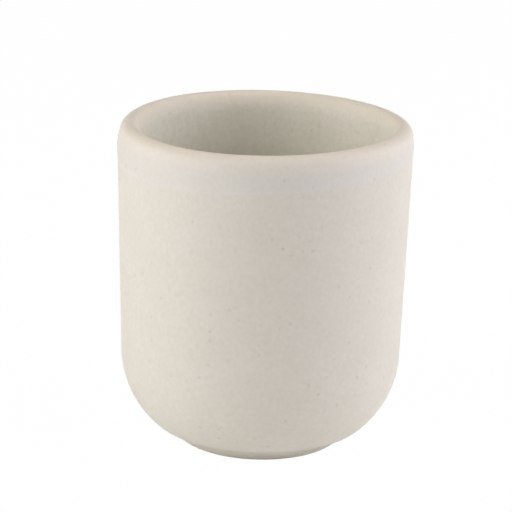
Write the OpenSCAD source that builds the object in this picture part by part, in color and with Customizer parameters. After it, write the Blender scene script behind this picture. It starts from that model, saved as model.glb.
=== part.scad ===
// Yunomi: a tall handleless tea cup of thrown stoneware under a satin off-white glaze.
// The cup stands on z = 0 with its axis on Z. Lengths are in millimetres, angles in degrees.
// Every piece is a half profile of radius and height that is turned once round the axis.

/* [Cup] */
// Largest outside diameter of the finished cup, just below the lip
rim_d = 80; // [72:0.5:90]
// Height of the finished cup, from the table to the top of the lip
cup_h = 89.3; // [78:0.1:100]
// Lean of the wall from upright, narrower towards the foot
wall_lean = 1.5; // [0:0.1:4]
// Thickness of the clay wall
wall_t = 5.2; // [4.8:0.1:6]
// Thickness of the clay floor
floor_t = 5; // [4:0.1:8]
// Radius of the clay's outer curve from the wall to the base
belly_r = 26.2; // [20:0.2:30]
// Radius of the hollow's curve from the wall to the floor
hollow_r = 18; // [14:0.5:22]

/* [Lip] */
// Angle by which the outside turns in below the lip
turn_in = 15; // [6:1:16]
// Radius of that turn
turn_r = 20; // [12:1:24]
// Angle by which the inside turns out below the lip
turn_out = 22; // [10:1:24]
// Radius of that turn
turn_out_r = 11; // [8:1:12]
// Radius of the clay lip's outer rounding, the inner rounding takes up the rest of the wall
lip_out_r = 2.3; // [1.4:0.1:2.5]

/* [Foot] */
// Diameter of the clay's flat base, where the belly ends
base_d = 50.8; // [47:0.2:56]
// Height of the foot ring
foot_h = 2.4; // [1.6:0.1:4]
// Outside diameter of the foot ring on the table
foot_d = 44.6; // [42:0.2:46.6]
// Width of the foot ring
foot_w = 3.4; // [2.4:0.1:6]
// Bevel sponged along the foot ring's inner edge
foot_bevel = 0.5; // [0.2:0.1:1]

/* [Glaze] */
// Thickness of the first coat, inside and outside
coat_t = 0.4; // [0.2:0.05:0.8]
// Thickness of the second dip over the lip
dip_t = 0.1; // [0.1:0.05:0.4]
// Depth of the second dip on the axis, from the top of the lip
dip_depth = 10.5; // [6:0.5:25]
// Reach of the second dip inside, below where the inside turns out
dip_inside = 2; // [1:0.5:6]
// Tilt of the second dip's edge
dip_tilt = 3; // [0:0.5:6]
// Strip of clay wiped bare between the outer coat and the base
wipe_w = 3.2; // [0.5:0.1:5]

/* [Hidden] */
$fn = 96;
arc_steps = 20;

clay_colour = "#b9a78c";
coat_colour = "#ddd7cb";
dip_colour = "#e6e2d9";

// Directions of the profile's normals, and the wall's two axes: out across it and down along it
outwards = -wall_lean;
inwards = 180 - wall_lean;
upwards = 90;
floorwards = -90;
across = [cos(wall_lean), -sin(wall_lean)];
along = [-sin(wall_lean), -cos(wall_lean)];

// Lip: the outside turns in, the inside turns out, and two roundings meet on the crest
glaze_t = coat_t + dip_t;
lip_angle = turn_in - wall_lean;
lip_to_turn = turn_r - lip_out_r;
crest = [rim_d / 2 - glaze_t - turn_r + lip_to_turn * cos(lip_angle), cup_h - glaze_t];
lip_out_c = crest - [0, lip_out_r];
turn_c = lip_out_c - lip_to_turn * [cos(lip_angle), sin(lip_angle)];
wall_out = turn_c * across + turn_r;
wall_in = wall_out - wall_t;
flare_angle = inwards - turn_out;
flare = turn_out_r * (1 - cos(turn_out));
lip_in_r = (crest * across - wall_in - flare) / (cos(turn_out) - sin(wall_lean));
lip_in_c = crest - [0, lip_in_r];
flare_c = lip_in_c - (turn_out_r - lip_in_r) * [cos(flare_angle), sin(flare_angle)];

// Belly: the circle that touches the wall and ends on the rim of the base
base_rim = [base_d / 2, foot_h];
belly_in = wall_out - base_rim * across;
belly_drop = sqrt(2 * belly_r * belly_in - belly_in * belly_in);
belly_c = base_rim + (belly_in - belly_r) * across - belly_drop * along;
base_angle = atan2(base_rim.y - belly_c.y, base_rim.x - belly_c.x);
wipe_angle = base_angle + wipe_w / belly_r * 180 / PI;

// Hollow: the circle that touches the inside of the wall and the floor
floor_z = foot_h + floor_t;
hollow_z = floor_z + hollow_r;
hollow_c = [(wall_in - hollow_r + sin(wall_lean) * hollow_z) / cos(wall_lean), hollow_z];

// Foot: the ring's inner radius is also the edge of the glaze in its recess
foot_in_r = foot_d / 2 - foot_w;

// Points of an arc from one direction to another, from its first or its second point on
function arc(centre, r, from, to, first = 0) = [
    for (i = [first : arc_steps])
        let (angle = from + (to - from) * i / arc_steps)
            centre + r * [cos(angle), sin(angle)]
];

function reversed(points) = [for (i = [len(points) - 1 : -1 : 0]) points[i]];

// Lines over the lip and round the bowl, at a height above the clay
function outer_lip(height) = concat(
    arc(lip_out_c, lip_out_r + height, upwards, lip_angle),
    arc(turn_c, turn_r + height, lip_angle, outwards, first = 1)
);
function inner_lip(height) = concat(
    arc(flare_c, turn_out_r + height, inwards, flare_angle),
    arc(lip_in_c, lip_in_r + height, flare_angle, upwards, first = 1)
);
function outer_bowl(height) = arc(belly_c, belly_r + height, outwards, wipe_angle);
function inner_bowl(height) = arc(hollow_c, hollow_r - height, floorwards, outwards);

// Whole inside and outside surfaces, at a height above the clay
function inside(height) = concat([[0, floor_z + height]], inner_bowl(height), inner_lip(height));
function outside(height) = concat(outer_lip(height), outer_bowl(height));

// What the second dip covers: a strip inside, the lip, and the wall down to where the belly begins
function dipped(height) = concat(
    [inner_lip(height)[0] + dip_inside * along],
    inner_lip(height),
    outer_lip(height),
    [outer_bowl(height)[0]]
);

// A coat of glaze lies between two such lines
module coat(low, high) {
    rotate_extrude() polygon(concat(low, reversed(high)));
}

// Stoneware bowl: wall, floor and rounded lip
module clay_body() {
    color(clay_colour) rotate_extrude() polygon(concat(
        inside(0),
        outside(0),
        arc(belly_c, belly_r, wipe_angle, base_angle),
        [[0, foot_h]]
    ));
}

// Bare clay ring under the base, turned back to a smaller circle on the table
module foot_ring() {
    color(clay_colour) rotate_extrude() polygon([
        [foot_in_r + foot_bevel, 0],
        [foot_d / 2, 0],
        base_rim,
        [foot_in_r, foot_h],
        [foot_in_r, foot_bevel]
    ]);
}

// Coat poured into the hollow, up to the crest of the lip
module liner_glaze() {
    color(coat_colour) coat(inside(0), inside(coat_t));
}

// Coat on the outside, from the crest of the lip to the wiped strip
module outer_glaze() {
    color(coat_colour) coat(outside(0), outside(coat_t));
}

// Second dip over the lip, which ends along the tilted line that the glaze reached
module lip_glaze() {
    color(dip_colour) intersection() {
        coat(dipped(coat_t), dipped(glaze_t));
        translate([0, 0, cup_h - dip_depth]) rotate([0, -dip_tilt, 0])
            translate([-rim_d, -rim_d, 0]) cube([2 * rim_d, 2 * rim_d, cup_h]);
    }
}

// Coat in the recess inside the foot ring
module base_glaze() {
    color(coat_colour) translate([0, 0, foot_h - coat_t]) cylinder(h = coat_t, r = foot_in_r);
}

clay_body();
foot_ring();
liner_glaze();
outer_glaze();
lip_glaze();
base_glaze();
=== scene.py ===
import math

import bmesh
import bpy
import numpy as np
from mathutils import Matrix, Vector


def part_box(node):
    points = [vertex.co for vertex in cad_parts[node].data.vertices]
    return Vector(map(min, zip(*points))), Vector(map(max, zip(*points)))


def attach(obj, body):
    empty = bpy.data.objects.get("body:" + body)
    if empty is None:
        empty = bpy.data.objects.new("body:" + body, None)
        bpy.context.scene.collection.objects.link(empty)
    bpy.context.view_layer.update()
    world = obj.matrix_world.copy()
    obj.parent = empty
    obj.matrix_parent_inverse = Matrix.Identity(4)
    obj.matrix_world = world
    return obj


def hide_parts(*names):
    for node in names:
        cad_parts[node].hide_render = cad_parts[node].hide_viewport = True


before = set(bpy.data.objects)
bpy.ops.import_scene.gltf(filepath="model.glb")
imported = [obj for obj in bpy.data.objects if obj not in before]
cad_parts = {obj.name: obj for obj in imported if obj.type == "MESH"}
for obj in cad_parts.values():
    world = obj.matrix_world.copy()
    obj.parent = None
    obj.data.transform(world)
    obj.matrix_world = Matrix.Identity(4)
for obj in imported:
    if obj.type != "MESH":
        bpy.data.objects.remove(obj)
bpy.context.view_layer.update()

# Thrown bowl
# The cup's wall, floor and lip: one bowl of pale sandy stoneware, thrown on a wheel and fired. Glaze covers
# all of it but a strip above the foot, which was sponged bare so that it can't stick in the kiln.
MM = 0.001

# From the solids: the cup's largest radius and its height, the base's radius, and how high the base and the
# floor are
cup_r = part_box("lip_glaze")[1].x
cup_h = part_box("lip_glaze")[1].z
base_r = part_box("foot_ring")[1].x
foot_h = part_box("foot_ring")[1].z
floor_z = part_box("liner_glaze")[0].z

# Thickness of a coat of glaze, and of the second dip over the lip
COAT_T = 0.4 * MM
DIP_T = 0.1 * MM

# Wall: how far it leans in, its thickness, and the rounds to the base outside and to the floor inside
WALL_LEAN = math.radians(1.5)
WALL_T = 5.2 * MM
BELLY_R = 26.2 * MM
HOLLOW_R = 18 * MM

# Below the lip the outside turns in and the inside turns out, each by an angle on a radius
TURN_IN = math.radians(15)
TURN_R = 20 * MM
TURN_OUT = math.radians(22)
TURN_OUT_R = 11 * MM
LIP_OUT_R = 2.3 * MM

# The lip isn't quite level or round: how far its highest point is above the mean, the height over which it
# wanders, and how far it moves out and up, as cosine and sine once round and then twice round
LIP_RISE = 0.5 * MM
LIP_REACH = 7 * MM
LIP_OUT = np.array([0.146, 0.067, -0.034, 0.010]) * MM
LIP_UP = np.array([0.203, -0.180, 0.006, -0.215]) * MM
lip_z = cup_h - LIP_RISE

# Throwing rings: the spiral that the fingers left inside, which fades out towards the lip and the floor's
# middle
RING_PITCH = 5.5 * MM
RING_DEPTH = 0.03 * MM
RING_FADE = 8 * MM

# Steps of the outlines: round the cup, over the lip from inside to outside, down the outside, up the inside
SEGMENTS = 288
FLARE_STEPS = 16
LIP_IN_STEPS = 16
LIP_OUT_STEPS = 24
TURN_STEPS = 16
WALL_STEPS = 48
BELLY_STEPS = 56
FLOOR_STEPS = 24
HOLLOW_STEPS = 56
INSIDE_STEPS = 96
CREST = FLARE_STEPS + LIP_IN_STEPS

# Directions of the outline's normals, and the wall's two axes: out across it and down along it
outwards = -WALL_LEAN
inwards = math.pi - WALL_LEAN
upwards = math.pi / 2
downwards = -math.pi / 2
across = np.array([math.cos(WALL_LEAN), -math.sin(WALL_LEAN)])
along = np.array([-math.sin(WALL_LEAN), -math.cos(WALL_LEAN)])

# Lip: two roundings that meet on the crest, an outer one of its own radius and an inner one that fills what
# is left of the wall
lip_angle = TURN_IN - WALL_LEAN
lip_to_turn = (TURN_R - LIP_OUT_R) * np.array([math.cos(lip_angle), math.sin(lip_angle)])
crest = np.array([cup_r - COAT_T - DIP_T - TURN_R + lip_to_turn[0], lip_z - COAT_T - DIP_T])
lip_out_c = crest - [0, LIP_OUT_R]
turn_c = lip_out_c - lip_to_turn
wall_out = turn_c @ across + TURN_R
wall_in = wall_out - WALL_T
flare_angle = inwards - TURN_OUT
flare = TURN_OUT_R * (1 - math.cos(TURN_OUT))
lip_in_r = (crest @ across - wall_in - flare) / (math.cos(TURN_OUT) - math.sin(WALL_LEAN))
lip_in_c = crest - [0, lip_in_r]
flare_c = lip_in_c - (TURN_OUT_R - lip_in_r) * np.array([math.cos(flare_angle), math.sin(flare_angle)])

# Belly: the circle that touches the wall and ends on the rim of the base
base_rim = np.array([base_r, foot_h])
belly_in = wall_out - base_rim @ across
belly_drop = math.sqrt(2 * BELLY_R * belly_in - belly_in ** 2)
belly_c = base_rim + (belly_in - BELLY_R) * across - belly_drop * along
base_angle = math.atan2(*(base_rim - belly_c)[::-1])

# Hollow: the circle that touches the inside of the wall and the floor
hollow_z = floor_z + HOLLOW_R
hollow_x = (wall_in - HOLLOW_R + math.sin(WALL_LEAN) * hollow_z) / math.cos(WALL_LEAN)
hollow_c = np.array([hollow_x, hollow_z])


def arc(centre, r, start, end, steps):
    """Points of an arc from one direction to another."""
    angles = np.linspace(start, end, steps + 1)
    return centre + r * np.stack([np.cos(angles), np.sin(angles)], axis=1)


def straight(start, end, steps):
    """Points between two ends, without the ends."""
    share = np.linspace(0, 1, steps + 2)[1:-1, None]
    return start * (1 - share) + end * share


def run(points):
    """Distance along a line of points, from its first one."""
    return np.concatenate([[0], np.cumsum(np.linalg.norm(np.diff(points, axis=0), axis=1))])


def feather(width, far):
    """From 0 at an edge to 1 at that width from it, without a step."""
    share = np.clip(far / width, 0, 1)
    return share ** 2 * (3 - 2 * share)


def over_lip(height):
    """Line over the lip at a height above the clay, from the inside's wall to the outside's."""
    return np.concatenate([
        arc(flare_c, TURN_OUT_R + height, inwards, flare_angle, FLARE_STEPS),
        arc(lip_in_c, lip_in_r + height, flare_angle, upwards, LIP_IN_STEPS)[1:],
        arc(lip_out_c, LIP_OUT_R + height, upwards, lip_angle, LIP_OUT_STEPS)[1:],
        arc(turn_c, TURN_R + height, lip_angle, outwards, TURN_STEPS)[1:],
    ])


def outside(height, end_angle):
    """Line down the outside at a height above the clay, from the crest to a direction on the belly."""
    lip = over_lip(height)[CREST:]
    belly = arc(belly_c, BELLY_R + height, outwards, end_angle, BELLY_STEPS)
    return np.concatenate([lip, straight(lip[-1], belly[0], WALL_STEPS), belly])


def inside(height, turn):
    """Line up the inside at a height above the clay, from the floor's middle to the crest, with the
    throwing rings where they pass at that angle round the cup."""
    middle = np.array([0, floor_z + height])
    hollow = arc(hollow_c, HOLLOW_R - height, downwards, outwards, HOLLOW_STEPS)
    lip = over_lip(height)[:CREST + 1]
    floor = straight(middle, hollow[0], FLOOR_STEPS)
    wall = straight(hollow[-1], lip[0], INSIDE_STEPS)
    points = np.concatenate([[middle], floor, hollow, wall, lip])
    far = run(points)
    fade = np.clip(np.minimum(far, far[-1] - RING_FADE - far) / RING_FADE, 0, 1)
    slope = np.gradient(points, axis=0)
    normal = np.stack([-slope[:, 1], slope[:, 0]], axis=1) / np.linalg.norm(slope, axis=1)[:, None]
    ring = RING_DEPTH * fade * np.sin(2 * math.pi * far / RING_PITCH - turn)
    return points + normal * ring[:, None]


def by_hand(points, turn):
    """Points of an outline where the hand left them: the lip wanders a little in height and radius."""
    share = feather(LIP_REACH, points[:, 1] - lip_z + LIP_REACH)
    wave = np.array([math.cos(turn), math.sin(turn), math.cos(2 * turn), math.sin(2 * turn)])
    return points[:, :2] + share[:, None] * [LIP_OUT @ wave, LIP_UP @ wave]


# What a coat of glaze has marked on it, from 0 to 1: how thin it is, which also places painted light (part
# of the sheen over the lip, the shade under the wiped edge), how much of the coat below shows through it,
# and how thick a bead it has there
MARKS = ("thin_and_painted_light", "sheer", "bead")

# Faces that turn by more than this from one to the next make a sharp edge
SHARP_ANGLE = math.radians(50)


def turned(name, outline, on_axis=False):
    """Turns an outline round the axis. outline(turn) gives its points at that angle, from axis to axis or
    as a loop: radius, height and, for a coat of glaze, its marks there."""
    turns = np.arange(SEGMENTS) * 2 * math.pi / SEGMENTS
    lines = np.array([outline(turn) for turn in turns])
    rows = np.array([by_hand(line, turn) for line, turn in zip(lines, turns)])
    count = rows.shape[1]
    build = bmesh.new()
    rings = []
    marks = []
    for i in range(count):
        if on_axis and i in (0, count - 1):
            rings.append([build.verts.new((0, 0, rows[:, i, 1].mean()))] * SEGMENTS)
            marks.append(lines[:1, i, 2:])
            continue
        rings.append([build.verts.new((r * math.cos(turn), r * math.sin(turn), z))
                      for turn, (r, z) in zip(turns, rows[:, i])])
        marks.append(lines[:, i, 2:])
    for i in range(count - 1 if on_axis else count):
        low, high = rings[i], rings[(i + 1) % count]
        for j in range(SEGMENTS):
            k = (j + 1) % SEGMENTS
            build.faces.new(list(dict.fromkeys([low[j], low[k], high[k], high[j]])))
    bmesh.ops.recalc_face_normals(build, faces=build.faces)
    mesh = bpy.data.meshes.new(name)
    build.to_mesh(mesh)
    build.free()
    for mark, values in zip(MARKS, np.concatenate(marks).T):
        mesh.attributes.new(mark, "FLOAT", "POINT").data.foreach_set("value", values)
    mesh.shade_smooth()
    mesh.set_sharp_from_angle(angle=SHARP_ANGLE)
    piece = bpy.data.objects.new(name, mesh)
    bpy.context.scene.collection.objects.link(piece)
    return piece


def linear(colour):
    """Linear colour of an sRGB hex value."""
    parts = [int(colour[i:i + 2], 16) / 255 for i in (1, 3, 5)]
    return [c / 12.92 if c <= 0.04045 else ((c + 0.055) / 1.055) ** 2.4 for c in parts] + [1.0]


def add(tree, kind, inputs=None, **settings):
    """Adds a node: its settings, then each input as a value or as a link from another node's output."""
    made = tree.nodes.new(kind)
    for name, value in settings.items():
        setattr(made, name, value)
    for name, value in (inputs or {}).items():
        if isinstance(value, bpy.types.NodeSocket):
            tree.links.new(value, made.inputs[name])
        else:
            made.inputs[name].default_value = value
    return made


# Stoneware: its tones, the clouds between them, the sand that stands out of it, the darker grains in it,
# and the turning tool's lines, which are noise stretched round the cup
CLAY_DARK = "#ccc7b7"
CLAY_PALE = "#d6d2c4"
CLAY_CLOUD = 5 * MM
CLAY_CLOUD_DETAIL = 3.0
SAND = 0.35 * MM
SAND_HEIGHT = SAND / 8
CLAY_GRAIN = "#a8977a"
GRAIN_SPACING = 1.1 * MM
GRAIN = 0.25 * MM
GRAIN_DEPTH = 0.6
GROOVE_PITCH = 0.6 * MM
GROOVE_STRETCH = (0.02, 0.02, 1.0)
SPONGED_GROOVE = 0.015 * MM
CLAY_ROUGH = 0.85
CLAY_IOR = 1.5


def bare_stoneware(name, groove):
    """Fired sandy clay without glaze: dry and matt, with darker grains of sand in a buff ground, and the
    fine grooves, of that depth, that a turning tool left round it."""
    material = bpy.data.materials.new(name)
    material.use_nodes = True
    tree = material.node_tree
    place = add(tree, "ShaderNodeTexCoord").outputs["Object"]
    cloud = add(tree, "ShaderNodeTexNoise", {
        "Vector": place, "Scale": 1 / CLAY_CLOUD, "Detail": CLAY_CLOUD_DETAIL})
    ground = add(tree, "ShaderNodeMix", {
        "Factor": cloud.outputs["Fac"], "A": linear(CLAY_DARK), "B": linear(CLAY_PALE)}, data_type="RGBA")
    # Grains: those whose middle lies near the surface show, as dots of that size
    grain = add(tree, "ShaderNodeTexVoronoi", {"Vector": place, "Scale": 1 / GRAIN_SPACING})
    dot = add(tree, "ShaderNodeMapRange", {
        "Value": grain.outputs["Distance"], "From Min": GRAIN / GRAIN_SPACING,
        "From Max": GRAIN / GRAIN_SPACING / 2, "To Max": GRAIN_DEPTH})
    speckled = add(tree, "ShaderNodeMix", {
        "Factor": dot.outputs["Result"], "A": ground.outputs["Result"], "B": linear(CLAY_GRAIN)},
        data_type="RGBA")
    # Relief: the sand, and over it the tool's lines, which run level
    sand = add(tree, "ShaderNodeTexNoise", {"Vector": place, "Scale": 1 / SAND})
    rough = add(tree, "ShaderNodeBump", {
        "Height": sand.outputs["Fac"], "Distance": SAND_HEIGHT, "Strength": 1.0})
    level = add(tree, "ShaderNodeMapping", {"Vector": place, "Scale": GROOVE_STRETCH})
    lines = add(tree, "ShaderNodeTexNoise", {"Vector": level.outputs["Vector"], "Scale": 1 / GROOVE_PITCH})
    grooved = add(tree, "ShaderNodeBump", {
        "Height": lines.outputs["Fac"], "Distance": groove, "Strength": 1.0,
        "Normal": rough.outputs["Normal"]})
    shader = tree.nodes["Principled BSDF"]
    shader.inputs["Roughness"].default_value = CLAY_ROUGH
    shader.inputs["IOR"].default_value = CLAY_IOR
    tree.links.new(speckled.outputs["Result"], shader.inputs["Base Color"])
    tree.links.new(grooved.outputs["Normal"], shader.inputs["Normal"])
    return material


def bowl_outline(turn):
    """The clay all round: up the inside, over the lip, down the outside and across under the base."""
    return np.concatenate([inside(0, turn), outside(0, base_angle)[1:], [[0, foot_h]]])


bowl = turned("thrown_bowl", bowl_outline, on_axis=True)
bowl.data.materials.append(bare_stoneware("sponged_stoneware", SPONGED_GROOVE))
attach(bowl, "root")
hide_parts("clay_body")

# Foot ring
# The low ring that the cup stands on, turned from the same clay with the cup upside down, and left bare.
# Its flank runs in to a smaller circle on the table, and its edges were rubbed round with a wet sponge.

# Its radius and width on the table, before the bevel inside and the rubbed edges, and its lines' depth
FOOT_R = 22.3 * MM
FOOT_W = 3.4 * MM
FOOT_BEVEL = 0.5 * MM
FOOT_EDGE = 0.35 * MM
RUB_STEPS = 6
TURNED_GROOVE = 0.04 * MM
foot_in_r = FOOT_R - FOOT_W


def rubbed(corners, r):
    """Arcs, one for each corner of a closed outline, that round it to that radius."""
    share = np.linspace(0, 1, RUB_STEPS + 1)[:, None]
    arcs = []
    for before, corner, after in zip(np.roll(corners, 1, axis=0), corners, np.roll(corners, -1, axis=0)):
        back = (before - corner) / np.linalg.norm(before - corner)
        on = (after - corner) / np.linalg.norm(after - corner)
        half = math.acos(back @ on) / 2
        middle = corner + (back + on) / np.linalg.norm(back + on) * r / math.sin(half)
        first = corner + back * r / math.tan(half) - middle
        last = corner + on * r / math.tan(half) - middle
        spokes = first * (1 - share) + last * share
        arcs.append(middle + r * spokes / np.linalg.norm(spokes, axis=1)[:, None])
    return arcs


# The two upper corners stay sharp, because the ring meets the bowl there
inner_top = np.array([foot_in_r, foot_h])
inner_low, outer_low, _, _, bevel_top = rubbed(np.array([
    [foot_in_r + FOOT_BEVEL, 0], [FOOT_R, 0], base_rim, inner_top, [foot_in_r, FOOT_BEVEL]]), FOOT_EDGE)
foot_outline = np.concatenate([inner_low, outer_low, [base_rim, inner_top], bevel_top])
foot = turned("turned_foot", lambda turn: foot_outline)
foot.data.materials.append(bare_stoneware("turned_stoneware", TURNED_GROOVE))
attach(foot, "root")
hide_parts("foot_ring")

# Liner coat
# The first glaze: poured into the cup, swilled round up to the crest of the lip, and poured out again.
# It lies in the throwing rings, a satin off-white with a slight green cast.
LINER_PALE = "#eae7d9"
LINER_DEEP = "#dddac6"
# Warm colour of the thin glaze over the lip, made lighter to paint part of the sheen on its rounding
LIP_WARM_AND_SHEEN = "#ebdfc6"
LINER_SPECKS = 0.35

# Tones of a glaze: wide clouds, by their share, on a fine mottling, and the limits between which both
# together go from the deep tone to the pale one, which shines a little more
CLOUD = 9 * MM
CLOUD_SHARE = 0.35
MOTTLE = 1.2 * MM
MOTTLE_DETAIL = 4.0
MOTTLE_ROUGH = 0.6
TONE_DEEP = 0.4
TONE_PALE = 0.95
ROUGH_DEEP = 0.7
ROUGH_PALE = 0.6

# Mottling breaks up the thin places: between these limits it weakens or strengthens them to these shares
BREAK_FROM = (0.3, 0.7)
BREAK_TO = (0.7, 1.1)

# Specks: one in each cell of that spacing, but in some cells none
SPECK_SPACING = 2.6 * MM
SPECK = 0.75 * MM
SPECK_TAN = "#b9ab80"
DARK_SPACING = 6 * MM
DARK_SPECK = 0.4 * MM
DARK_DEPTH = 0.3
SPECK_DARK = "#84764f"
EMPTY_CELLS = 0.5

# Relief of the skin, which follows the mottling, and a finer one over it
MOTTLE_HEIGHT = 0.02 * MM
FINE = 0.45 * MM
FINE_HEIGHT = 0.006 * MM
GLAZE_IOR = 1.5


def satin_glaze(name, pale, deep, thin_colour_and_painted_light, speck_depth, others=()):
    """Satin feldspar glaze: smooth to the hand and softly shining. It clouds between two tones, is mottled
    finely, lets tan and a few dark specks of the clay's iron through, and changes colour where it is thin.
    That
    colour also holds painted light: a lighter warm tone for part of the sheen over the lip, and a grey
    painted shade along the thin wiped edge. others gives marks of the coat that have two tones of their
    own."""
    material = bpy.data.materials.new(name)
    material.use_nodes = True
    tree = material.node_tree
    place = add(tree, "ShaderNodeTexCoord").outputs["Object"]
    cloud = add(tree, "ShaderNodeTexNoise", {"Vector": place, "Scale": 1 / CLOUD})
    mottle = add(tree, "ShaderNodeTexNoise", {
        "Vector": place, "Scale": 1 / MOTTLE, "Detail": MOTTLE_DETAIL, "Roughness": MOTTLE_ROUGH})
    both = add(tree, "ShaderNodeMath", {
        0: cloud.outputs["Fac"], 1: CLOUD_SHARE, 2: mottle.outputs["Fac"]}, operation="MULTIPLY_ADD")
    tone = add(tree, "ShaderNodeMapRange", {
        "Value": both.outputs["Value"], "From Min": TONE_DEEP, "From Max": TONE_PALE})
    colour = add(tree, "ShaderNodeMix", {
        "Factor": tone.outputs["Result"], "A": linear(deep), "B": linear(pale)}, data_type="RGBA")
    for mark, other_pale, other_deep in others:
        other = add(tree, "ShaderNodeMix", {
            "Factor": tone.outputs["Result"], "A": linear(other_deep), "B": linear(other_pale)},
            data_type="RGBA")
        share = add(tree, "ShaderNodeAttribute", attribute_name=mark)
        colour = add(tree, "ShaderNodeMix", {
            "Factor": share.outputs["Fac"], "A": colour.outputs["Result"], "B": other.outputs["Result"]},
            data_type="RGBA")
    # Thin places: the coat's own thinness, broken up by the mottling. Their colour also paints light: part
    # of the sheen over the lip, and the shade under the wiped edge.
    thin_and_painted_light = add(tree, "ShaderNodeAttribute", attribute_name="thin_and_painted_light")
    broken = add(tree, "ShaderNodeMapRange", {
        "Value": mottle.outputs["Fac"], "From Min": BREAK_FROM[0], "From Max": BREAK_FROM[1],
        "To Min": BREAK_TO[0], "To Max": BREAK_TO[1]})
    bare = add(tree, "ShaderNodeMath", {
        0: thin_and_painted_light.outputs["Fac"], 1: broken.outputs["Result"]}, operation="MULTIPLY", use_clamp=True)
    colour = add(tree, "ShaderNodeMix", {
        "Factor": bare.outputs["Value"], "A": colour.outputs["Result"], "B": linear(thin_colour_and_painted_light)},
        data_type="RGBA")
    # Specks: soft dots of iron round the middles of the cells, some strong and some faint
    for spacing, size, tint, depth in ((SPECK_SPACING, SPECK, SPECK_TAN, speck_depth),
                                       (DARK_SPACING, DARK_SPECK, SPECK_DARK, DARK_DEPTH)):
        cells = add(tree, "ShaderNodeTexVoronoi", {"Vector": place, "Scale": 1 / spacing})
        chance = add(tree, "ShaderNodeSeparateColor", {"Color": cells.outputs["Color"]})
        shows = add(tree, "ShaderNodeMapRange", {"Value": chance.outputs["Red"], "From Min": EMPTY_CELLS})
        dot = add(tree, "ShaderNodeMapRange", {
            "Value": cells.outputs["Distance"], "From Min": size / spacing, "From Max": 0.0,
            "To Max": depth}, interpolation_type="SMOOTHSTEP")
        strength = add(tree, "ShaderNodeMath", {
            0: dot.outputs["Result"], 1: shows.outputs["Result"]}, operation="MULTIPLY")
        colour = add(tree, "ShaderNodeMix", {
            "Factor": strength.outputs["Value"], "A": colour.outputs["Result"], "B": linear(tint)},
            data_type="RGBA")
    gloss = add(tree, "ShaderNodeMapRange", {
        "Value": tone.outputs["Result"], "To Min": ROUGH_DEEP, "To Max": ROUGH_PALE})
    wave = add(tree, "ShaderNodeBump", {
        "Height": mottle.outputs["Fac"], "Distance": MOTTLE_HEIGHT, "Strength": 1.0})
    fine = add(tree, "ShaderNodeTexNoise", {"Vector": place, "Scale": 1 / FINE})
    skin = add(tree, "ShaderNodeBump", {
        "Height": fine.outputs["Fac"], "Distance": FINE_HEIGHT, "Strength": 1.0,
        "Normal": wave.outputs["Normal"]})
    shader = tree.nodes["Principled BSDF"]
    shader.inputs["IOR"].default_value = GLAZE_IOR
    tree.links.new(colour.outputs["Result"], shader.inputs["Base Color"])
    tree.links.new(gloss.outputs["Result"], shader.inputs["Roughness"])
    tree.links.new(skin.outputs["Normal"], shader.inputs["Normal"])
    return material


# Over the lip the glaze ran thin, and the clay warms it: how thin, by the distance in mm from the crest.
# Distances inside are minus. The warm colour is also lighter than the dip, so it paints part of the soft
# sheen on the lip's rounding.
LIP_FAR = (-5.8, -4.2, -2.8, 0.0, 0.9, 1.6, 2.4, 3.4, 4.6, 6.0)
LIP_THIN = (0.0, 0.15, 0.55, 0.65, 0.75, 0.65, 0.45, 0.35, 0.2, 0.0)


def thin_lip(far):
    """How thin the glaze is at these distances from the crest."""
    return np.interp(far / MM, LIP_FAR, LIP_THIN)


def coat(points, *marks):
    """Points of a coat of glaze with its marks: each one value, or one for each point, and 0 where not
    given."""
    marks = marks + (0.0,) * (len(MARKS) - len(marks))
    return np.column_stack([points] + [np.broadcast_to(mark, len(points)) for mark in marks])


def liner_outline(turn):
    """The coat's face from the floor's middle up to the crest, and back along the clay."""
    face = inside(COAT_T, turn)
    far = run(face)
    return np.concatenate([coat(face, thin_lip(far - far[-1])), coat(inside(0, turn)[::-1])])


liner = turned("liner_coat", liner_outline, on_axis=True)
liner.data.materials.append(
    satin_glaze("satin_liner_glaze", LINER_PALE, LINER_DEEP, LIP_WARM_AND_SHEEN, LINER_SPECKS))
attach(liner, "root")
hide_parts("liner_glaze")

# Outer coat
# The second glaze, over the whole outside from the crest of the lip, wiped off again above the foot. The
# sponge tapered it towards that edge, where it is thin; its colour there turns grey, a painted shade for
# the shadow under the glaze's edge. The bare strip is widest in front.
WHITE_PALE = "#dddacd"
WHITE_DEEP = "#d5d1c1"
# Grey of the thin edge: painted shade, for the shadow under the glaze's wiped edge
WHITE_EDGE_SHADE = "#cfcfc9"
WHITE_SPECKS = 0.4

# Width of the bare strip, with its waves round the cup as count, size and phase, and of the taper above it
WIPE_W = 3.4 * MM
WIPE_WAVES = ((3, 0.3 * MM, 0.0), (7, 0.06 * MM, 2.2))
TAPER_W = 3.2 * MM
TAPER_STEPS = 30


def wave_round(waves, turn):
    """Sum of a few waves round the cup."""
    return sum(size * math.sin(count * turn + phase) for count, size, phase in waves)


# The taper is a quarter of an ellipse: from the even coat to the edge, with the points closer and closer
taper = np.linspace(0, math.pi / 2, TAPER_STEPS)
taper_far = TAPER_W * (1 - np.sin(taper))
taper_t = COAT_T * np.cos(taper)


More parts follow.
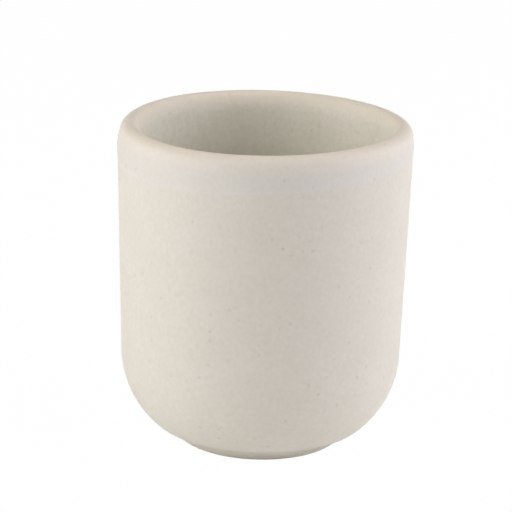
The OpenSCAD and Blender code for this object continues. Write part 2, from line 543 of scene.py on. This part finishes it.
def outer_outline(turn):
    """The coat's face from the crest down to the wiped edge, and back along the clay."""
    edge_angle = base_angle + (WIPE_W + wave_round(WIPE_WAVES, turn)) / BELLY_R
    even = outside(COAT_T, edge_angle + TAPER_W / BELLY_R)[:-1]
    angles = edge_angle + taper_far / BELLY_R
    r = BELLY_R + taper_t
    tapered = belly_c + np.stack([r * np.cos(angles), r * np.sin(angles)], axis=1)
    # Where the coat thins to its edge its colour turns grey: painted shade under the edge
    thin_and_painted_light = 1 - feather(TAPER_W, taper_far)
    return np.concatenate([coat(even), coat(tapered, thin_and_painted_light), coat(outside(0, edge_angle)[-2::-1])])


outer = turned("outer_coat", outer_outline)
white_glaze = satin_glaze("satin_white_glaze", WHITE_PALE, WHITE_DEEP, WHITE_EDGE_SHADE, WHITE_SPECKS)
outer.data.materials.append(white_glaze)
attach(outer, "root")
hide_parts("outer_glaze")

# Lip dip
# A second, thin coat: the cup was dipped upside down, so it reaches about 10 mm down the outside, along a
# tilted edge, and only a little way inside. It is paler and cooler, and runs thin and warm over the crest,
# where its lighter warm tone also paints part of the lip's sheen.
DIP_PALE = "#dbd9ce"
DIP_DEEP = "#d5d2c5"
BEAD_PALE = "#dedcd3"
BEAD_DEEP = "#d8d5ca"
DIP_SPECKS = 0.35

# How far it reaches down outside, on a tilt and with waves, and inside below the lip's rounding
DIP_DEPTH = 10.5 * MM
DIP_TILT = math.radians(3)
DIP_WAVES = ((2, 0.08 * MM, 0.4), (5, 0.07 * MM, 1.9), (11, 0.04 * MM, 0.3))
DIP_INSIDE = 2 * MM
DIP_STEPS = 26

# It thins out to nothing over these widths, outside and inside. It melted a little way into the coats
# below, and its hidden side reaches down the wall by a share of what its face does.
DIP_FEATHER = 3 * MM
DIP_FADE = 8 * MM
DIP_SINK = 0.02 * MM
HIDDEN_SHARE = 0.5

# It is sheer inside and on the crest: from and to which distance past the crest it turns dense. Along its
# outer edge it drew up to a whiter bead of that width.
SHEER_END = 0.6 * MM
DENSE_START = 2 * MM
BEAD_W = 3.5 * MM


def dip_outline(turn):
    """The dip's face from its edge inside over the lip to its edge outside, and back in the coats below."""
    low = over_lip(COAT_T - DIP_SINK)
    depth = over_lip(COAT_T + DIP_T) - low
    tilt = math.tan(DIP_TILT) * cup_r * math.cos(turn)
    edge_z = cup_h - DIP_DEPTH + tilt + wave_round(DIP_WAVES, turn)
    down = (low[-1, 1] - edge_z) / math.cos(WALL_LEAN)
    share = np.sin(np.linspace(0, math.pi / 2, DIP_STEPS))[:, None]
    strip = low[0] + share[::-1] * DIP_INSIDE * along
    wall = low[-1] + share * down * along
    bed = np.concatenate([strip, low[1:-1], wall])
    depth = np.pad(depth, ((DIP_STEPS - 1, DIP_STEPS - 1), (0, 0)), mode="edge")
    far = run(bed)
    to_edge = far[-1] - far
    past = far - far[bed[:, 1].argmax()]
    face = bed + depth * (feather(DIP_FADE, far) * feather(DIP_FEATHER, to_edge))[:, None]
    sheer = np.interp(past, (SHEER_END, DENSE_START), (1, 0))
    bead = 1 - feather(BEAD_W, to_edge)
    hidden = np.concatenate([
        [low[-1] + HIDDEN_SHARE * down * along], low[::-1], [low[0] + HIDDEN_SHARE * DIP_INSIDE * along]])
    return np.concatenate([coat(face, thin_lip(past), sheer, bead), coat(hidden)])


dip = turned("lip_dip", dip_outline)
dip.data.materials.append(satin_glaze(
    "satin_second_coat", DIP_PALE, DIP_DEEP, LIP_WARM_AND_SHEEN, DIP_SPECKS,
    (("sheer", LINER_PALE, LINER_DEEP), ("bead", BEAD_PALE, BEAD_DEEP))))
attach(dip, "root")
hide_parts("lip_glaze")

# Recess coat
# The same white glaze brushed into the recess inside the foot ring, where it stays off the kiln's shelf.
# It creeps up the ring's inner wall in a small hollow curve.
CREEP = 0.6 * MM
CREEP_WAVES = ((3, 0.08 * MM, 0.7), (5, 0.05 * MM, 2.0))
CREEP_STEPS = 10
RECESS_STEPS = 16


def recess_outline(turn):
    """The coat's side on the clay out to the ring, then its face: the hollow curve and the flat."""
    creep = CREEP + wave_round(CREEP_WAVES, turn)
    low = foot_h - COAT_T
    curve = arc(np.array([foot_in_r - creep, low - creep]), creep, 0, upwards, CREEP_STEPS)
    middle = np.array([0, low])
    thin_and_painted_light = np.linspace(1, 0, CREEP_STEPS + 1)
    flat = np.concatenate([straight(curve[-1], middle, RECESS_STEPS), [middle]])
    return np.concatenate([coat([[0, foot_h], inner_top]), coat(curve, thin_and_painted_light), coat(flat)])


recess = turned("recess_coat", recess_outline, on_axis=True)
recess.data.materials.append(white_glaze)
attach(recess, "root")
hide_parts("base_glaze")

# Table
# A wide sheet of matt white paper over a light box, so that a little light comes up under the belly.
# It shows white to the eye, with a faint soft shadow round the foot.
TABLE_HALF = 1500 * MM
TABLE_STEPS = 8
WHITE = "#ffffff"
PAPER = "#f2f1ef"
PAPER_ROUGH = 0.9
PAPER_SHINE = 0.2
PAPER_WHITE = 0.985
PAPER_GLOW = 0.08
build = bmesh.new()
bmesh.ops.create_grid(build, x_segments=TABLE_STEPS, y_segments=TABLE_STEPS, size=TABLE_HALF)
mesh = bpy.data.meshes.new("table")
build.to_mesh(mesh)
build.free()
table = bpy.data.objects.new("table", mesh)
bpy.context.scene.collection.objects.link(table)


def white_to_eye(tree, strength):
    """Strength for the rays that see the backdrop itself or its reflection, and none for the light it gives
    off."""
    path = add(tree, "ShaderNodeLightPath")
    seen = path.outputs["Is Camera Ray"]
    for kind in ("Is Glossy Ray", "Is Transmission Ray"):
        either = add(tree, "ShaderNodeMath", {0: seen, 1: path.outputs[kind]}, operation="MAXIMUM")
        seen = either.outputs["Value"]
    return add(tree, "ShaderNodeMath", {0: seen, 1: strength}, operation="MULTIPLY").outputs["Value"]


paper = bpy.data.materials.new("matt_white_paper")
paper.use_nodes = True
tree = paper.node_tree
shader = tree.nodes["Principled BSDF"]
shader.inputs["Base Color"].default_value = linear(PAPER)
shader.inputs["Roughness"].default_value = PAPER_ROUGH
shader.inputs["Specular IOR Level"].default_value = PAPER_SHINE
shader.inputs["Emission Color"].default_value = linear(WHITE)
shader.inputs["Emission Strength"].default_value = PAPER_GLOW
glow = add(tree, "ShaderNodeEmission", {"Color": linear(WHITE)})
mix = add(tree, "ShaderNodeMixShader", {
    0: white_to_eye(tree, PAPER_WHITE), 1: shader.outputs["BSDF"], 2: glow.outputs["Emission"]})
tree.links.new(mix.outputs["Shader"], tree.nodes["Material Output"].inputs["Surface"])
table.data.materials.append(paper)

# Light
# Large soft boxes stand in two banks, left and right of the cup.
# The room behind them shows white to the eye and in the glaze, and gives no light of its own.
world = bpy.data.worlds.new("white_room")
world.use_nodes = True
bpy.context.scene.world = world
background = world.node_tree.nodes["Background"]
background.inputs["Color"].default_value = linear(WHITE)
world.node_tree.links.new(white_to_eye(world.node_tree, 1.0), background.inputs["Strength"])

# How far off the boxes stand and how wide they are, the colours of the two banks, and for each box: degrees
# round from the camera to the right, degrees above the table, watts and colour
BOX_AWAY = 900 * MM
BOX_SIZE = 800 * MM
LEFT = (1.0, 0.965, 1.0)
RIGHT = (0.945, 0.912, 1.0)
BOXES = (
    ("left_front", -55, 12, 3.9, LEFT),
    ("left_front_high", -55, 45, 2.4, LEFT),
    ("left", -83, 12, 3.2, LEFT),
    ("right", 83, 12, 7.75, RIGHT),
    ("right_back", 110, 12, 0.9, RIGHT),
    ("right_high", 90, 70, 2.0, RIGHT),
)
for name, side, rise, watts, colour in BOXES:
    lamp = bpy.data.lights.new(name, "AREA")
    lamp.size = BOX_SIZE
    lamp.energy = watts
    lamp.color = colour
    box = bpy.data.objects.new(name, lamp)
    turn, lift = math.radians(side), math.radians(rise)
    way = Vector((math.sin(turn) * math.cos(lift), -math.cos(turn) * math.cos(lift), math.sin(lift)))
    box.location = Vector((0, 0, cup_h / 2)) + BOX_AWAY * way
    box.rotation_euler = (-way).to_track_quat("-Z", "Y").to_euler()
    box.visible_camera = False
    bpy.context.scene.collection.objects.link(box)

# Camera
# The photograph's view: a long lens a little above the cup, turned slightly round its own axis.
# Its place, its aim, and the lens and sensor in millimetres.
VIEW_MIDDLE = Vector((0, 0, 44.4)) * MM
VIEW_DISTANCE = 700 * MM
VIEW_RISE = math.radians(17.661)
VIEW_ROLL = math.radians(1.430)
VIEW_AIM = Vector((-1.8305, 0, 50.864)) * MM
LENS = 179.427
SENSOR_W = 36
CLIP_START = 10 * MM
eye = VIEW_MIDDLE + VIEW_DISTANCE * Vector((0, -math.cos(VIEW_RISE), math.sin(VIEW_RISE)))
camera = bpy.data.objects.new("camera", bpy.data.cameras.new("camera"))
camera.data.sensor_width = SENSOR_W
camera.data.lens = LENS
camera.data.clip_start = CLIP_START
looks = (VIEW_AIM - eye).normalized()
right = looks.cross(Vector((0, 0, 1))).normalized()
up = right.cross(looks)
rolled_right = right * math.cos(VIEW_ROLL) + up * math.sin(VIEW_ROLL)
rolled_up = up * math.cos(VIEW_ROLL) - right * math.sin(VIEW_ROLL)
axes = Matrix((rolled_right, rolled_up, -looks)).transposed()
camera.matrix_world = Matrix.Translation(eye) @ axes.to_4x4()
bpy.context.scene.collection.objects.link(camera)
bpy.context.scene.camera = camera
bpy.context.scene.view_settings.view_transform = "Standard"
